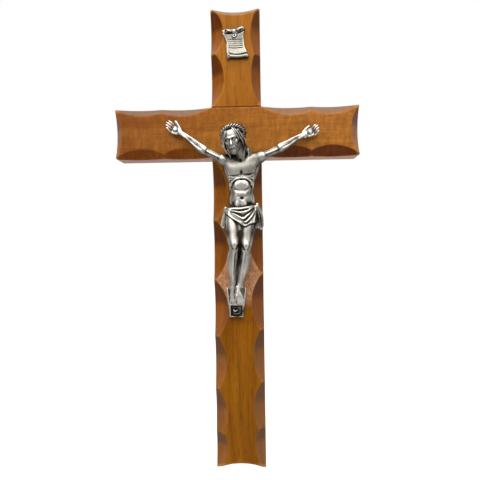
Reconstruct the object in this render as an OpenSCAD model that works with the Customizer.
// Wall crucifix. Two scalloped beams are halved into each other, a cast figure hangs in front
// on three nails, a small scroll plate is pinned above it, and a D ring swings behind the top.
// X runs to the right as the viewer sees it, Z runs up, and the front looks along -Y.
// The origin is on the back of the upright, at the line on which the D ring turns.

/* [Cross] */
// Height of the upright beam
beam_h = 254; // [240:1:280]
// Span of the crossbeam from end to end
arm_span = 135; // [125:1:150]
// Width of both beams
beam_w = 27.5; // [25:0.1:30]
// Thickness of both beams
beam_t = 16; // [14:0.5:18]
// From the top of the upright down to the centre line of the crossbeam
arm_drop = 68; // [64:0.5:76]

/* [Scallops] */
// How far a scallop reaches across the front face
scallop_face = 5.2; // [4:0.1:6]
// How far a scallop reaches back along the side face
scallop_side = 4.7; // [3:0.1:7]
// Reach across the front face of the scallop on the top end
top_end_cut = 3.6; // [2:0.1:6]
// Reach across the front face of the scallop on the bottom end
bottom_end_cut = 2.9; // [2:0.1:6]
// Reach across the front face of the scallop on the left end
left_end_cut = 3.3; // [2:0.1:6]
// Reach across the front face of the scallop on the right end
right_end_cut = 4.6; // [2:0.1:6]
// How much further the other three end scallops reach back than across the face
end_cut_back = 1.2; // [0:0.1:2]
// How far back the bottom scallop would run out, behind the wood, so that its end stands steep
bottom_cut_back = 60; // [40:1:90]

/* [Figure] */
// Height of the cast figure, from the crown of the head to the foot of its block
figure_h = 103; // [90:0.5:108]
// Radius of the shank of the three nails
nail_r = 0.6; // [0.4:0.05:0.8]
// How deep the three nails go into the wood
nail_depth = 9; // [5:0.5:12]
// Radius of the head of a hand nail
hand_head_r = 1.35; // [1:0.05:1.8]
// Height of the dome of a hand nail
hand_head_rise = 0.9; // [0.5:0.05:1.3]
// Radius of the head of the foot nail
foot_head_r = 0.9; // [0.7:0.05:1.2]
// Height of the dome of the foot nail
foot_head_rise = 0.55; // [0.3:0.05:0.8]
// Play around a nail where it passes through metal and wood
nail_play = 0.05; // [0.02:0.01:0.1]

/* [Scroll] */
// Width of the scroll plate across its ends
scroll_w = 12.2; // [10:0.1:14]
// Height of the scroll plate
scroll_h = 15.4; // [13:0.1:18]
// Thickness of the scroll plate
scroll_t = 1.1; // [0.8:0.1:1.5]
// Radius of the roll along the foot of the scroll
roll_r = 1.15; // [0.9:0.05:1.4]
// Radius of the rolled corners at the head of the scroll
curl_r = 0.85; // [0.6:0.05:1]
// How far each side of the scroll is drawn in at its waist
scroll_waist = 0.9; // [0.4:0.1:1.4]
// Angle by which the scroll leans to the left
scroll_lean = 5; // [0:0.5:8]
// From the top of the upright down to the middle of the scroll
scroll_drop = 19.2; // [16:0.1:24]
// Radius of the head of the scroll pin
pin_head_r = 1.3; // [1:0.05:1.6]
// Height of the head of the scroll pin
pin_head_rise = 1.05; // [0.6:0.05:1.2]
// Radius of the shank of the scroll pin
pin_r = 0.5; // [0.4:0.05:0.7]
// How deep the scroll pin goes into the wood
pin_depth = 5; // [3:0.5:7]

/* [Hanger] */
// From the top of the upright down to the line on which the ring turns
hanger_drop = 22; // [19:0.5:26]
// Width of the strap
strap_w = 9; // [7:0.5:9.5]
// Length of the strap below the line on which the ring turns
strap_l = 27; // [26:0.5:32]
// Thickness of the strap
strap_t = 0.8; // [0.6:0.05:1]
// Radius of the wire of the ring
wire_r = 0.8; // [0.6:0.05:1]
// Play around the wire in the rolled knuckle
wire_play = 0.07; // [0.04:0.01:0.1]
// Space between the lying ring and the strap
ring_gap = 0.3; // [0.2:0.05:0.5]
// Width of the ring between the centre lines of its legs
ring_w = 14; // [13.5:0.5:18]
// Height of the ring between the centre lines of its bar and its bow
ring_h = 12; // [11:0.5:13]
// Radius of the two bends beside the bar, at the centre of the wire
bend_r = 2; // [1.5:0.1:2]
// Radius of the shank of the two screws
screw_r = 1.1; // [0.9:0.05:1.4]
// Radius of the head of the two screws
screw_head_r = 2.2; // [1.8:0.1:2.4]
// Height of the head of the two screws
screw_head_rise = 1.1; // [0.8:0.05:1.3]
// Wood left between the tip of a screw and the front half of the joint
screw_tip_cover = 1; // [0.5:0.1:2]
// From the line on which the ring turns down to the upper screw
screw_drop = 16.5; // [16:0.5:17.5]
// Distance between the two screws
screw_pitch = 5.8; // [5:0.1:6]

/* [Hidden] */

// Cuts run past the faces that they open by this much
overrun = 2;
// Fineness of true round surfaces
round_fn = 96;

top_z = hanger_drop;
bottom_z = top_z - beam_h;
arm_z = top_z - arm_drop;
up_l = arm_drop - beam_w / 2;
down_l = beam_h - arm_drop - beam_w / 2;
side_l = (arm_span - beam_w) / 2;
lap_t = beam_t / 2;
// The screws end in the rear half of the upright, so they never reach the crossbeam
screw_depth = lap_t - screw_tip_cover;

// Scallops of each arm's two front edges, from the crossing outwards:
// start and end as shares of the arm's length, and depth as a share of the full scallop
up_left_shares = [[0, 0.60, 1.42], [0.50, 1.03, 1.42]];
up_right_shares = [[0, 0.65, 1.05], [0.42, 1.05, 1.05]];
down_left_shares = [[0.005, 0.212, 1.56], [0.190, 0.400, 1.54], [0.387, 0.585, 1.48],
    [0.558, 0.757, 1.28], [0.727, 0.925, 1.28], [0.858, 1.012, 1.30]];
down_right_shares = [[0.005, 0.205, 1.32], [0.178, 0.380, 1.32], [0.368, 0.567, 1.32],
    [0.536, 0.735, 1.20], [0.706, 0.908, 1.24], [0.840, 1.012, 1.15]];
right_top_shares = [[0.01, 0.61, 0.92], [0.40, 1.01, 0.90]];
right_bottom_shares = [[0.02, 0.60, 1.12], [0.42, 1.02, 1.12]];
left_top_shares = [[0.01, 0.62, 0.84], [0.40, 1.01, 0.76]];
left_bottom_shares = [[0, 0.57, 1.04], [0.42, 1.03, 1.02]];

// Figure: places are shares of its height, across, out from the wood, and up from the middle of
// the crossing, then the radius, or the half width, half depth and half height of a swelling
trunk_shares = [
    [0.025, 0.054, -0.187, 0.076, 0.050, 0.034],
    [0.021, 0.060, -0.235, 0.082, 0.062, 0.040],
    [0.023, 0.058, -0.292, 0.074, 0.059, 0.030],
    [0.025, 0.050, -0.354, 0.066, 0.050, 0.030],
    [0.021, 0.054, -0.420, 0.076, 0.058, 0.040],
    [0.016, 0.058, -0.470, 0.072, 0.060, 0.034]];
chest_shares = [
    [-0.016, 0.074, -0.220, 0.046, 0.050, 0.032],
    [0.060, 0.074, -0.217, 0.046, 0.050, 0.032]];
flank_shares = [
    [[-0.062, 0.057, -0.163, 0.029], [-0.030, 0.058, -0.222, 0.038]],
    [[0.116, 0.057, -0.153, 0.029], [0.070, 0.058, -0.222, 0.038]]];
belly_shares = [
    [0.024, 0.086, -0.302, 0.046, 0.034, 0.040],
    [0.025, 0.074, -0.364, 0.044, 0.030, 0.036]];
rib_arch_shares = [
    [-0.044, 0.088, -0.320, 0.008],
    [-0.032, 0.098, -0.288, 0.010],
    [0.000, 0.110, -0.264, 0.010],
    [0.023, 0.113, -0.257, 0.010],
    [0.046, 0.110, -0.264, 0.010],
    [0.079, 0.098, -0.288, 0.010],
    [0.090, 0.088, -0.320, 0.008]];
yoke_shares = [
    [-0.062, 0.057, -0.161, 0.029],
    [0.018, 0.060, -0.160, 0.031],
    [0.120, 0.057, -0.150, 0.029]];
neck_shares = [[0.018, 0.070, -0.175, 0.034], [0.000, 0.105, -0.105, 0.030]];
left_arm_shares = [
    [-0.064, 0.058, -0.161, 0.031],
    [-0.122, 0.052, -0.132, 0.020],
    [-0.190, 0.046, -0.093, 0.025],
    [-0.252, 0.037, -0.040, 0.018],
    [-0.291, 0.030, -0.010, 0.015]];
right_arm_shares = [
    [0.123, 0.058, -0.150, 0.031],
    [0.185, 0.054, -0.121, 0.020],
    [0.247, 0.046, -0.093, 0.025],
    [0.312, 0.036, -0.057, 0.018],
    [0.352, 0.030, -0.035, 0.015]];
left_leg_shares = [
    [-0.023, 0.061, -0.456, 0.041],
    [-0.022, 0.087, -0.549, 0.036],
    [-0.017, 0.103, -0.614, 0.028],
    [-0.028, 0.078, -0.680, 0.029],
    [-0.027, 0.054, -0.757, 0.021],
    [-0.028, 0.047, -0.830, 0.016]];
right_leg_shares = [
    [0.050, 0.061, -0.456, 0.041],
    [0.049, 0.087, -0.549, 0.036],
    [0.041, 0.103, -0.619, 0.027],
    [0.033, 0.078, -0.684, 0.028],
    [0.017, 0.068, -0.757, 0.020],
    [0.004, 0.072, -0.825, 0.016]];
front_foot_shares = [
    [0.002, 0.074, -0.830, 0.017],
    [-0.006, 0.078, -0.868, 0.017],
    [0.003, 0.068, -0.900, 0.014]];
rear_foot_shares = [
    [-0.029, 0.048, -0.835, 0.016],
    [-0.031, 0.054, -0.874, 0.015],
    [-0.029, 0.052, -0.902, 0.013]];
// Radius of a toe, the step from toe to toe, and how far they stay above the tip of the foot
toe_r_share = 0.0048;
toe_step_share = 0.0062;
toe_drop_share = 0.002;

// Foot block: plate behind the feet, its two pointed ears, and the sloping ledge under the toes
block_plate_shares = [[-0.060, -0.842], [0.034, -0.842], [-0.048, -0.981], [0.021, -0.981]];
block_ear_shares = [[-0.060, -0.832], [0.034, -0.832]];
block_ear_foot_shares = [[-0.048, -0.855], [0.027, -0.855]];
block_plate_out_share = 0.026;
block_ledge_shares = [[-0.046, 0.064, -0.918], [0.020, 0.064, -0.918], [-0.044, 0.018, -0.980],
    [0.018, 0.018, -0.980], [-0.046, 0.004, -0.908], [0.020, 0.004, -0.908],
    [-0.044, 0.004, -0.980], [0.018, 0.004, -0.980]];
block_round_share = 0.004;

// Hand: palm, then the start, angle and length of four fingers, and the thumb
palm_shares = [[-0.030, 0.029, -0.002, 0.013], [-0.004, 0.026, 0.010, 0.013],
    [0.012, 0.026, 0.004, 0.012], [0.010, 0.026, -0.014, 0.012], [-0.012, 0.026, -0.014, 0.012]];
finger_start_shares = [0.016, 0.006, -0.006, -0.017];
finger_angles = [27, 10, -8, -30];
finger_length_shares = [0.036, 0.042, 0.040, 0.030];
finger_r_share = 0.0068;
finger_root_share = 0.011;
finger_out_share = 0.027;
finger_curl_share = 0.010;
// Each joint of a finger: along, raised and up as shares of its length and curl, then thickness
finger_joint_shares = [[0, 0, 0, 1], [0.55, 0.5, 0.55, 1], [0.8, 1, 1, 0.85]];
thumb_shares = [[-0.018, 0.030, 0.006, 0.009], [-0.004, 0.036, 0.024, 0.008], [0.012, 0.040, 0.040, 0.0066]];
left_palm_share = [-0.325, 0.013];
right_palm_share = [0.390, -0.015];
left_hand_turn = 31;
right_hand_turn = 24;

// Head, in its own frame: place, lean and nod, then its swellings
head_share = [-0.006, 0.126, -0.058];
head_lean = 12;
head_nod = 10;
head_turn = 8;
skull_shares = [[0, 0, 0.012, 0.050, 0.060, 0.056], [0, 0.022, -0.020, 0.037, 0.036, 0.052],
    [0, 0.028, -0.058, 0.027, 0.027, 0.028], [0, 0.030, -0.080, 0.015, 0.017, 0.017]];
nose_shares = [[0, 0.054, 0.002, 0.006], [0, 0.064, -0.020, 0.0085]];
brow_shares = [[-0.026, 0.042, 0.008, 0.008], [0, 0.053, 0.010, 0.008], [0.026, 0.042, 0.008, 0.008]];
moustache_shares = [[-0.016, 0.048, -0.040, 0.006], [0, 0.058, -0.033, 0.007], [0.016, 0.048, -0.040, 0.006]];
hair_cap_share = [0, -0.014, 0.012, 0.064, 0.062, 0.064];
left_lock_shares = [[-0.040, 0.022, 0.034, 0.020], [-0.050, 0.006, -0.010, 0.022],
    [-0.046, 0.000, -0.052, 0.019], [-0.034, 0.004, -0.096, 0.011]];
right_lock_shares = [[0.040, 0.022, 0.034, 0.020], [0.050, 0.002, -0.010, 0.024],
    [0.052, -0.016, -0.056, 0.024], [0.050, -0.032, -0.100, 0.019]];
crown_half_shares = [0.060, 0.064];
crown_up_share = 0.036;
crown_r_share = 0.011;
crown_wave_share = 0.006;
crown_links = 14;

// Loincloth: wrap, knots, hanging ends, and the folds that sag from knot to knot
wrap_shares = [[0.020, 0.060, -0.424, 0.080, 0.064, 0.016], [0.016, 0.064, -0.466, 0.080, 0.070, 0.024],
    [0.030, 0.078, -0.500, 0.040, 0.052, 0.018]];
left_knot_share = [-0.066, 0.082, -0.410, 0.016];
right_knot_share = [0.104, 0.080, -0.393, 0.017];
left_end_shares = [
    [[-0.070, 0.076, -0.417, 0.011], [-0.080, 0.064, -0.470, 0.012], [-0.086, 0.058, -0.508, 0.013]],
    [[-0.062, 0.078, -0.417, 0.011], [-0.066, 0.068, -0.480, 0.011], [-0.068, 0.062, -0.528, 0.011]]];
right_end_shares = [
    [[0.107, 0.076, -0.400, 0.012], [0.118, 0.066, -0.462, 0.012], [0.124, 0.060, -0.522, 0.012]],
    [[0.098, 0.078, -0.404, 0.012], [0.103, 0.068, -0.472, 0.012], [0.107, 0.062, -0.530, 0.011]]];
fold_sag_shares = [0.024, 0.056, 0.082, 0.106];
fold_start_shares = [0, 0.05, 0.10, 0.14];
fold_r_shares = [0.010, 0.008, 0.008, 0.007];
fold_steps = 7;
fold_centre_share = 0.019;
fold_half_share = 0.100;
fold_out_shares = [0.054, 0.074];

// Nails through the figure: across and up, then the height of the seat above the wood
left_nail_share = [-0.324, 0.010];
right_nail_share = [0.389, -0.018];
hand_seat_share = 0.036;
foot_nail_share = [-0.008, -0.866];
foot_seat_share = 0.091;

// Scroll plate details
rule_count = 4;
rule_r = 0.28;
rule_w_share = 0.52;
rule_top_share = 0.10;
rule_pitch_share = 0.105;
curl_slope = 12;
loop_r = 0.85;
loop_wire_r = 0.3;
pin_up_share = 0.40;
loop_up_share = 0.25;

knuckle_bore_r = wire_r + wire_play;
knuckle_r = knuckle_bore_r + strap_t;
knuckle_y = max(knuckle_r, strap_t + ring_gap + wire_r);
screw_slot_w = screw_head_r / 4;
screw_slot_depth = screw_head_rise / 2;

wood_colour = "peru";
wood_red_colour = "sienna";
cast_colour = "silver";
nail_colour = "lightgray";
steel_colour = "darkgray";

// Cutter for one scallop. The edge runs along Z through the origin, and the wood lies on the
// side of +X and +Y. The cut is zero at both ends of its chord and full in the middle.
module scallop(face, side, half_chord) {
    slant = norm([face, side]);
    depth = face * side / slant;
    radius = (half_chord * half_chord + depth * depth) / (2 * depth);
    translate([face / 2 - radius * side / slant, side / 2 - radius * face / slant, 0])
        rotate([0, 0, atan2(side, -face)])
            rotate([0, 90, 0])
                cylinder(r = radius, h = slant + 2 * overrun, center = true, $fn = round_fn);
}

// Row of scallops along the left front edge of an arm that points up
module edge_row(rows, arm_l) {
    for (row = rows)
        translate([-beam_w / 2, -beam_t, beam_w / 2 + arm_l * (row[0] + row[1]) / 2])
            scallop(scallop_face * row[2], scallop_side * row[2], arm_l * (row[1] - row[0]) / 2);
}

// All cutters of one arm, turned about the middle of the crossing
module arm_cuts(turn, arm_l, left_rows, right_rows, end_cut, end_back) {
    translate([0, 0, arm_z])
        rotate([0, turn, 0]) {
            edge_row(left_rows, arm_l);
            mirror([1, 0, 0])
                edge_row(right_rows, arm_l);
            translate([0, -beam_t, beam_w / 2 + arm_l])
                rotate([0, 90, 0])
                    scallop(end_cut, end_back, beam_w / 2);
        }
}

// Turns the Z axis towards the viewer at a place on the front face of the wood
module on_front(x, z) {
    translate([x, -beam_t, z])
        rotate([90, 0, 0])
            children();
}

// Turns the Z axis away from the viewer at a place on the back face of the wood
module on_back(x, z) {
    translate([x, 0, z])
        rotate([-90, 0, 0])
            children();
}

module front_bore(x, z, radius, depth) {
    on_front(x, z)
        translate([0, 0, -depth])
            cylinder(r = radius, h = depth + overrun, $fn = round_fn);
}

function figure_x(place) = figure_h * place[0];
function figure_z(place) = arm_z + figure_h * place[1];
scroll_z = top_z - scroll_drop;
pin_x = -scroll_h * pin_up_share * sin(scroll_lean);
pin_z = scroll_z + scroll_h * pin_up_share * cos(scroll_lean);

module upright_beam() {
    color(wood_colour)
        difference() {
            translate([-beam_w / 2, -beam_t, bottom_z])
                cube([beam_w, beam_t, beam_h]);
            translate([-beam_w / 2 - overrun, -beam_t - overrun, arm_z - beam_w / 2])
                cube([beam_w + 2 * overrun, lap_t + overrun, beam_w]);
            arm_cuts(0, up_l, up_left_shares, up_right_shares, top_end_cut, top_end_cut + end_cut_back);
            arm_cuts(180, down_l, down_right_shares, down_left_shares, bottom_end_cut, bottom_cut_back);
            front_bore(figure_x(foot_nail_share), figure_z(foot_nail_share), nail_r + nail_play,
                nail_depth + nail_play);
            front_bore(pin_x, pin_z, pin_r + nail_play, pin_depth + nail_play);
            for (drop = [screw_drop, screw_drop + screw_pitch])
                on_back(0, -drop)
                    translate([0, 0, -screw_depth - nail_play])
                        cylinder(r = screw_r + nail_play, h = screw_depth + nail_play + overrun,
                            $fn = round_fn);
        }
}

module crossbeam() {
    color(wood_red_colour)
        difference() {
            translate([-arm_span / 2, -beam_t, arm_z - beam_w / 2])
                cube([arm_span, beam_t, beam_w]);
            translate([-beam_w / 2, -beam_t + lap_t, arm_z - beam_w / 2 - overrun])
                cube([beam_w, beam_t, beam_w + 2 * overrun]);
            arm_cuts(90, side_l, right_top_shares, right_bottom_shares, right_end_cut,
                right_end_cut + end_cut_back);
            arm_cuts(-90, side_l, left_bottom_shares, left_top_shares, left_end_cut,
                left_end_cut + end_cut_back);
            for (place = [left_nail_share, right_nail_share])
                front_bore(figure_x(place), figure_z(place), nail_r + nail_play, nail_depth + nail_play);
        }
}

// Place in the figure's own frame from shares of its height
function spot(row) = figure_h * [row[0], -row[1], row[2]];

module bead(row, fn = 12) {
    translate(spot(row))
        sphere(r = figure_h * row[3], $fn = fn);
}

module swelling(row, fn = 18) {
    translate(spot(row))
        scale(figure_h * [row[3], row[4], row[5]])
            sphere(1, $fn = fn);
}

module limb(rows, fn = 12) {
    for (i = [1:len(rows) - 1])
        hull() {
            bead(rows[i - 1], fn);
            bead(rows[i], fn);
        }
}

module finger(start, angle, length_share) {
    limb([for (joint = finger_joint_shares)
        [finger_root_share + length_share * joint[0] * cos(angle),
        finger_out_share + finger_curl_share * joint[1],
        start + length_share * joint[2] * sin(angle),
        finger_r_share * joint[3]]], 8);
}

// Hand that points to the right with its palm to the viewer, about the middle of the palm
module hand() {
    hull()
        for (row = palm_shares)
            bead(row, 10);
    for (i = [0:3])
        finger(finger_start_shares[i], finger_angles[i], finger_length_shares[i]);
    limb(thumb_shares, 8);
}

module head() {
    translate(spot(head_share))
        rotate([head_nod, -head_lean, -head_turn]) {
            for (row = skull_shares)
                swelling(row);
            swelling(hair_cap_share);
            limb(nose_shares, 8);
            limb(brow_shares, 8);
            limb(moustache_shares, 8);
            limb(left_lock_shares, 10);
            limb(right_lock_shares, 10);
            crown_of_thorns();
        }
}

function crown_row(i) = let (a = i * 360 / crown_links)
    [crown_half_shares[0] * cos(a), crown_half_shares[1] * sin(a) - crown_wave_share,
    crown_up_share + crown_wave_share * (i % 2), crown_r_share];

module crown_of_thorns() {
    limb([for (i = [0:crown_links]) crown_row(i)], 8);
}

// One fold of the loincloth, hanging from knot to knot over the front of the hips
function fold_row(k, t) = let (
        s = fold_start_shares[k] + t * (1 - 2 * fold_start_shares[k]),
        x = left_knot_share[0] + s * (right_knot_share[0] - left_knot_share[0]),
        z = left_knot_share[2] + s * (right_knot_share[2] - left_knot_share[2]),
        side = (x - fold_centre_share) / fold_half_share)
    [x, fold_out_shares[0] + fold_out_shares[1] * sqrt(max(0, 1 - side * side)),
    z - fold_sag_shares[k] * 4 * t * (1 - t), fold_r_shares[k]];

module loincloth() {
    for (i = [1:len(wrap_shares) - 1])
        hull() {
            swelling(wrap_shares[i - 1], 16);
            swelling(wrap_shares[i], 16);
        }
    for (k = [0:len(fold_sag_shares) - 1])
        limb([for (i = [0:fold_steps]) fold_row(k, i / fold_steps)], 8);
    for (row = [left_knot_share, right_knot_share])
        bead(row, 10);
    for (rows = concat(left_end_shares, right_end_shares))
        limb(rows, 8);
}

module toes(rows) {
    tip = rows[len(rows) - 1];
    for (i = [-2:2])
        bead([tip[0] + i * toe_step_share, tip[1] + toe_r_share, tip[2] - tip[3] + toe_drop_share
            - abs(i) * toe_r_share / 4, toe_r_share], 8);
}

module foot_block() {
    hull()
        for (row = block_plate_shares, out = [0, block_plate_out_share])
            bead([row[0], out, row[1], block_round_share], 8);
    for (i = [0:1])
        hull() {
            bead([block_ear_shares[i][0], block_plate_out_share, block_ear_shares[i][1],
                block_round_share / 2], 8);
            bead([block_plate_shares[i][0], 0, block_plate_shares[i][1], block_round_share], 8);
            bead([block_ear_foot_shares[i][0], block_plate_out_share, block_ear_foot_shares[i][1],
                block_round_share], 8);
        }
    hull()
        for (row = block_ledge_shares)
            bead([row[0], row[1], row[2], block_round_share], 8);
}

module figure() {
    for (i = [1:len(trunk_shares) - 1])
        hull() {
            swelling(trunk_shares[i - 1]);
            swelling(trunk_shares[i]);
        }
    for (row = concat(chest_shares, belly_shares))
        swelling(row, 14);
    limb(rib_arch_shares, 8);
    limb(yoke_shares);
    for (rows = flank_shares)
        limb(rows);
    limb(neck_shares);
    limb(left_arm_shares);
    limb(right_arm_shares);
    translate(spot([left_palm_share[0], 0, left_palm_share[1]]))
        mirror([1, 0, 0])
            rotate([0, -left_hand_turn, 0])
                hand();
    translate(spot([right_palm_share[0], 0, right_palm_share[1]]))
        rotate([0, -right_hand_turn, 0])
            hand();
    head();
    loincloth();
    limb(left_leg_shares);
    limb(right_leg_shares);
    limb(rear_foot_shares, 10);
    limb(front_foot_shares, 10);
    toes(rear_foot_shares);
    toes(front_foot_shares);
    foot_block();
}

// Flat seat and hole for a nail through the casting
module nail_seat(place, seat_share, head_r) {
    on_front(figure_x(place), figure_z(place)) {
        translate([0, 0, -overrun])
            cylinder(r = nail_r + nail_play, h = figure_h * seat_share + 2 * overrun, $fn = 24);
        translate([0, 0, figure_h * seat_share])
            cylinder(r = head_r + nail_play, h = figure_h * seat_share, $fn = 24);
    }
}

module corpus() {
    color(cast_colour)
        difference() {
            translate([0, -beam_t, arm_z])
                figure();
            translate([-arm_span / 2, -beam_t, bottom_z])
                cube([arm_span, beam_t, beam_h]);
            nail_seat(left_nail_share, hand_seat_share, hand_head_r);
            nail_seat(right_nail_share, hand_seat_share, hand_head_r);
            nail_seat(foot_nail_share, foot_seat_share, foot_head_r);
        }
}

// Shank and low domed head. The head's underside is at seat above the face of the wood.
module headed_pin(shank_r, depth, seat, head_r, rise) {
    dome_r = (head_r * head_r + rise * rise) / (2 * rise);
    translate([0, 0, -depth])
        cylinder(r = shank_r, h = depth + seat + rise / 2, $fn = round_fn);
    intersection() {
        translate([0, 0, seat + rise - dome_r])
            sphere(r = dome_r, $fn = round_fn);
        translate([0, 0, seat])
            cylinder(r = head_r + overrun, h = rise + overrun, $fn = round_fn);
    }
}

module nail(place, seat_share, head_r, rise) {
    color(nail_colour)
        on_front(figure_x(place), figure_z(place))
            headed_pin(nail_r, nail_depth, figure_h * seat_share, head_r, rise);
}

module left_hand_nail() {
    nail(left_nail_share, hand_seat_share, hand_head_r, hand_head_rise);
}

module right_hand_nail() {
    nail(right_nail_share, hand_seat_share, hand_head_r, hand_head_rise);
}

module foot_nail() {
    nail(foot_nail_share, foot_seat_share, foot_head_r, foot_head_rise);
}

// Outline of the parchment with both sides drawn in by large arcs
module scroll_outline() {
    waist_r = (scroll_h * scroll_h / 4 + scroll_waist * scroll_waist) / (2 * scroll_waist);
    difference() {
        square([scroll_w, scroll_h - 2 * curl_r], center = true);
        for (side = [-1, 1])
            translate([side * (scroll_w / 2 + waist_r - scroll_waist), 0])
                circle(r = waist_r, $fn = round_fn);
    }
}

module scroll_roll(length, radius) {
    rotate([0, 90, 0])
        cylinder(r = radius, h = length, center = true, $fn = round_fn);
}

module scroll_plate() {
    color(cast_colour)
        on_front(0, scroll_z)
            rotate([0, 0, scroll_lean])
                difference() {
                    union() {
                        linear_extrude(scroll_t)
                            scroll_outline();
                        translate([0, roll_r - scroll_h / 2, roll_r])
                            scroll_roll(scroll_w, roll_r);
                        for (side = [-1, 1])
                            translate([side * scroll_w / 4, scroll_h / 2 - curl_r - scroll_waist / 2, curl_r])
                                rotate([0, 0, side * curl_slope])
                                    scroll_roll(scroll_w / 2, curl_r);
                        translate([0, scroll_h * loop_up_share, scroll_t])
                            rotate_extrude($fn = round_fn)
                                translate([loop_r, 0])
                                    circle(r = loop_wire_r, $fn = round_fn);
                    }
                    for (i = [0:rule_count - 1])
                        translate([0, scroll_h * (rule_top_share - i * rule_pitch_share), scroll_t])
                            scroll_roll(scroll_w * rule_w_share, rule_r);
                    translate([0, scroll_h * pin_up_share, -overrun])
                        cylinder(r = pin_r + nail_play, h = scroll_t + 2 * overrun, $fn = round_fn);
                    translate([0, scroll_h * pin_up_share, scroll_t])
                        cylinder(r = pin_head_r + nail_play, h = scroll_t + overrun, $fn = round_fn);
                    translate([-scroll_w, -scroll_h, -overrun])
                        cube([2 * scroll_w, 2 * scroll_h, overrun]);
                }
}

module scroll_pin() {
    color(nail_colour)
        on_front(pin_x, pin_z)
            headed_pin(pin_r, pin_depth, scroll_t, pin_head_r, pin_head_rise);
}

module hanger_strap() {
    color(steel_colour)
        difference() {
            union() {
                translate([-strap_w / 2, 0, strap_w / 2 - strap_l])
                    cube([strap_w, strap_t, strap_l - strap_w / 2]);
                on_back(0, strap_w / 2 - strap_l)
                    cylinder(r = strap_w / 2, h = strap_t, $fn = round_fn);
                translate([-strap_w / 2, 0, -knuckle_r])
                    cube([strap_w, knuckle_y, knuckle_r]);
                translate([0, knuckle_y, 0])
                    scroll_roll(strap_w, knuckle_r);
            }
            translate([0, knuckle_y, 0])
                scroll_roll(strap_w + 2 * overrun, knuckle_bore_r);
            for (drop = [screw_drop, screw_drop + screw_pitch])
                on_back(0, -drop)
                    translate([0, 0, -overrun])
                        cylinder(r = screw_r + nail_play, h = strap_t + 2 * overrun, $fn = round_fn);
        }
}

// Quarter or half turn of the ring's wire, starting from the angle start
module wire_bend(radius, start, sweep) {
    rotate([0, 0, start])
        rotate_extrude(angle = sweep, $fn = round_fn)
            translate([radius, 0])
                circle(r = wire_r, $fn = round_fn);
}

module hanging_ring() {
    half_w = ring_w / 2;
    leg_l = ring_h - half_w - bend_r;
    color(steel_colour)
        translate([0, knuckle_y, 0])
            rotate([90, 0, 0]) {
                scroll_roll(ring_w - 2 * bend_r, wire_r);
                for (side = [0, 1])
                    mirror([side, 0, 0]) {
                        translate([half_w - bend_r, -bend_r, 0])
                            wire_bend(bend_r, 0, 90);
                        translate([half_w, -bend_r - leg_l, 0])
                            rotate([-90, 0, 0])
                                cylinder(r = wire_r, h = leg_l, $fn = round_fn);
                    }
                translate([0, half_w - ring_h, 0])
                    wire_bend(half_w, 180, 180);
            }
}

module hanger_screw(drop) {
    color(steel_colour)
        on_back(0, -drop)
            difference() {
                headed_pin(screw_r, screw_depth, strap_t, screw_head_r, screw_head_rise);
                translate([-screw_slot_w / 2, -screw_head_r - overrun,
                    strap_t + screw_head_rise - screw_slot_depth])
                    cube([screw_slot_w, 2 * screw_head_r + 2 * overrun, screw_slot_depth + overrun]);
            }
}

module upper_hanger_screw() {
    hanger_screw(screw_drop);
}

module lower_hanger_screw() {
    hanger_screw(screw_drop + screw_pitch);
}

upright_beam();
crossbeam();
corpus();
left_hand_nail();
right_hand_nail();
foot_nail();
scroll_plate();
scroll_pin();
hanger_strap();
hanging_ring();
upper_hanger_screw();
lower_hanger_screw();
